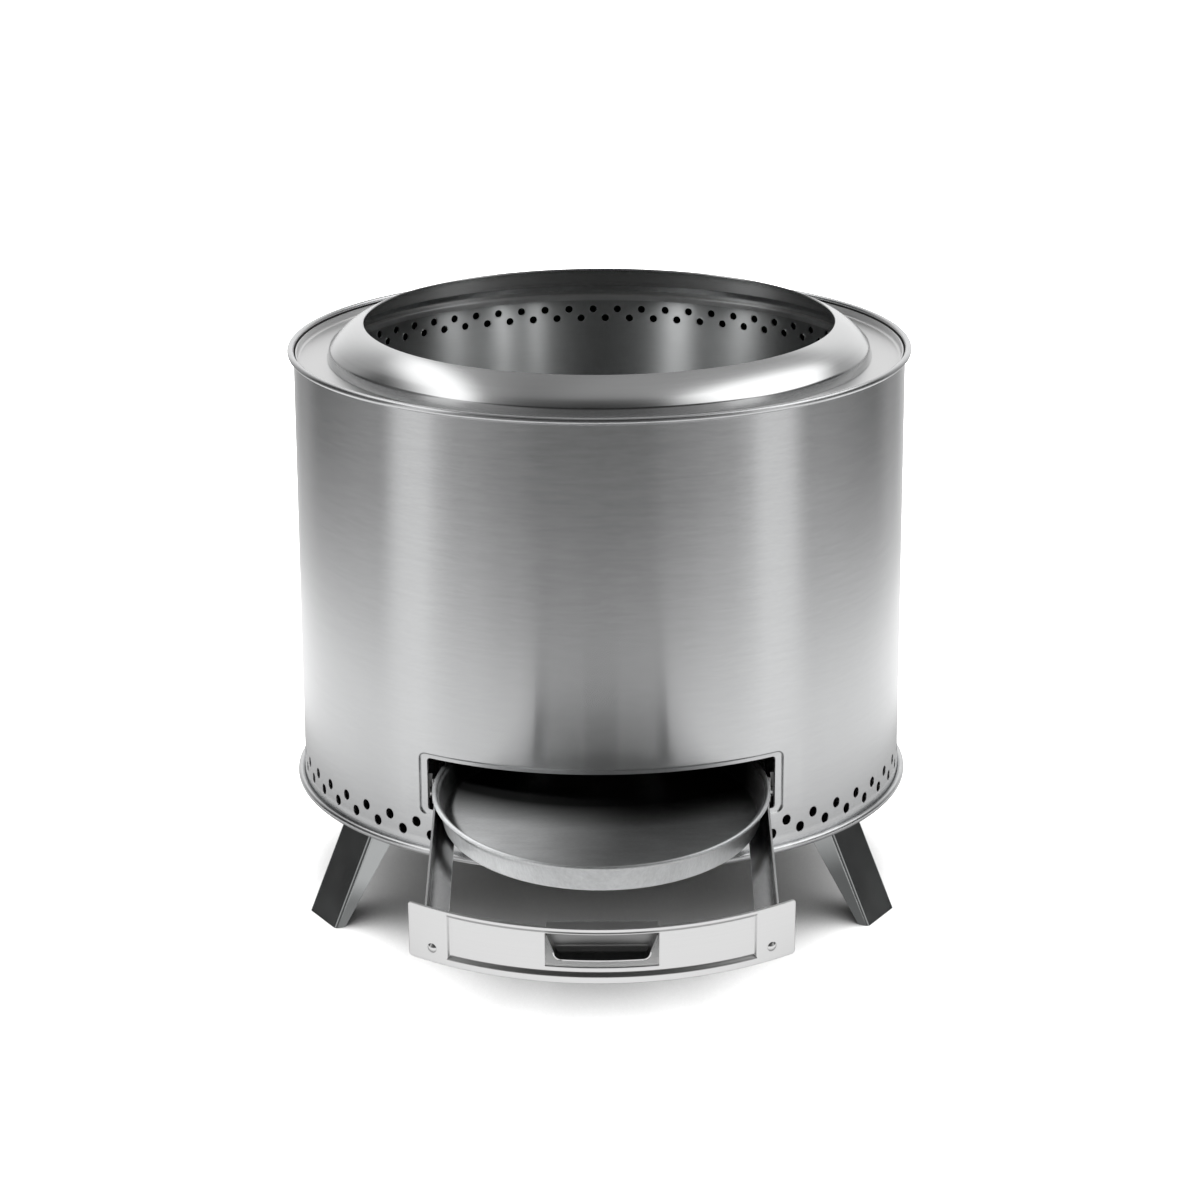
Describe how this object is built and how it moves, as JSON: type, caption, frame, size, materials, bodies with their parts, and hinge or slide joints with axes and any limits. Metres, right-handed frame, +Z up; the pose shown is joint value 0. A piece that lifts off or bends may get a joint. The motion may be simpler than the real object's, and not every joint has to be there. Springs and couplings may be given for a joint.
{
  "type": "fire pit",
  "caption": "Round stainless fire pit with a vented double wall, a sloping flame ring, folding legs and a slide-out ash drawer shown pulled out.",
  "frame": {"origin": "the point on the ground under the pit's axis, midway between the three feet", "axes": "+Z up along the pit's axis; -Y towards the front, where the drawer slides out; +X to the right seen from the front"},
  "size_m": [0.498, 0.7273, 0.4608],
  "materials": {
    "shell_steel": "brushed stainless steel with level grain",
    "deck_steel": "satin stainless steel",
    "ring_steel": "bright satin stainless steel",
    "chamber_steel": "stainless steel, brushed up and down",
    "floor_steel": "dull stainless steel",
    "base_steel": "plain stainless steel",
    "runner_steel": "plain stainless steel",
    "rail_steel": "satin stainless steel",
    "front_steel": "pale satin stainless steel",
    "pan_steel": "pale mottled stainless steel",
    "leg_steel": "brushed stainless steel",
    "rivet_steel": "polished stainless steel"
  },
  "bodies": {
    "pit": {"outer_shell": "shell_steel", "top_deck": "deck_steel", "fire_chamber": "chamber_steel", "chamber_floor": "floor_steel", "base_plate": "base_steel", "runner_bracket_left": "runner_steel", "runner_bracket_right": "runner_steel", "rear_runner_support": "runner_steel", "leg_bracket_left": "base_steel", "leg_bracket_right": "base_steel", "leg_bracket_rear": "base_steel", "leg_pin_left": "rivet_steel", "leg_pin_right": "rivet_steel", "leg_pin_rear": "rivet_steel", "bracket_rivets": "rivet_steel"},
    "lifting_ring": {"flame_ring": "ring_steel"},
    "lifting_grate": {"burn_grate": "floor_steel"},
    "runners": {"runner_left": "runner_steel", "runner_right": "runner_steel", "runner_pins": "rivet_steel"},
    "drawer": {"drawer_rail_left": "rail_steel", "drawer_rail_right": "rail_steel", "drawer_front": "front_steel", "drawer_handle": "front_steel", "drawer_rivets": "rivet_steel", "guide_rivets": "rivet_steel", "ash_pan": "pan_steel"},
    "left_leg": {"leg_left": "leg_steel"},
    "right_leg": {"leg_right": "leg_steel"},
    "rear_leg": {"leg_rear": "leg_steel"}
  },
  "joints": [
    {"name": "drawer_tilt", "type": "hinge", "parent": "pit", "child": "runners", "pos_m": [0, -0.195, 0.133], "axis": [-1, 0, 0], "range_deg": [0, 6.5]},
    {"name": "drawer_slide", "type": "slide", "parent": "runners", "child": "drawer", "axis": [0, 0.9936, 0.1132], "range_m": [0, 0.225]},
    {"name": "ring_lift", "type": "slide", "parent": "pit", "child": "lifting_ring", "axis": [0, 0, 1], "range_m": [0, 0.15]},
    {"name": "grate_lift", "type": "slide", "parent": "pit", "child": "lifting_grate", "axis": [0, 0, 1], "range_m": [0, 0.3]},
    {"name": "leg_fold_left", "type": "hinge", "parent": "pit", "child": "left_leg", "pos_m": [-0.18013, -0.104, 0.08], "axis": [0.5, -0.866, 0], "range_deg": [0, 114]},
    {"name": "leg_fold_right", "type": "hinge", "parent": "pit", "child": "right_leg", "pos_m": [0.18013, -0.104, 0.08], "axis": [0.5, 0.866, 0], "range_deg": [0, 114]},
    {"name": "leg_fold_rear", "type": "hinge", "parent": "pit", "child": "rear_leg", "pos_m": [0, 0.208, 0.08], "axis": [-1, 0, 0], "range_deg": [0, 114]}
  ],
  "couplings": [
    {"joint": "drawer_tilt", "follows": "drawer_slide", "rad_per_m": 0.50421}
  ]
}
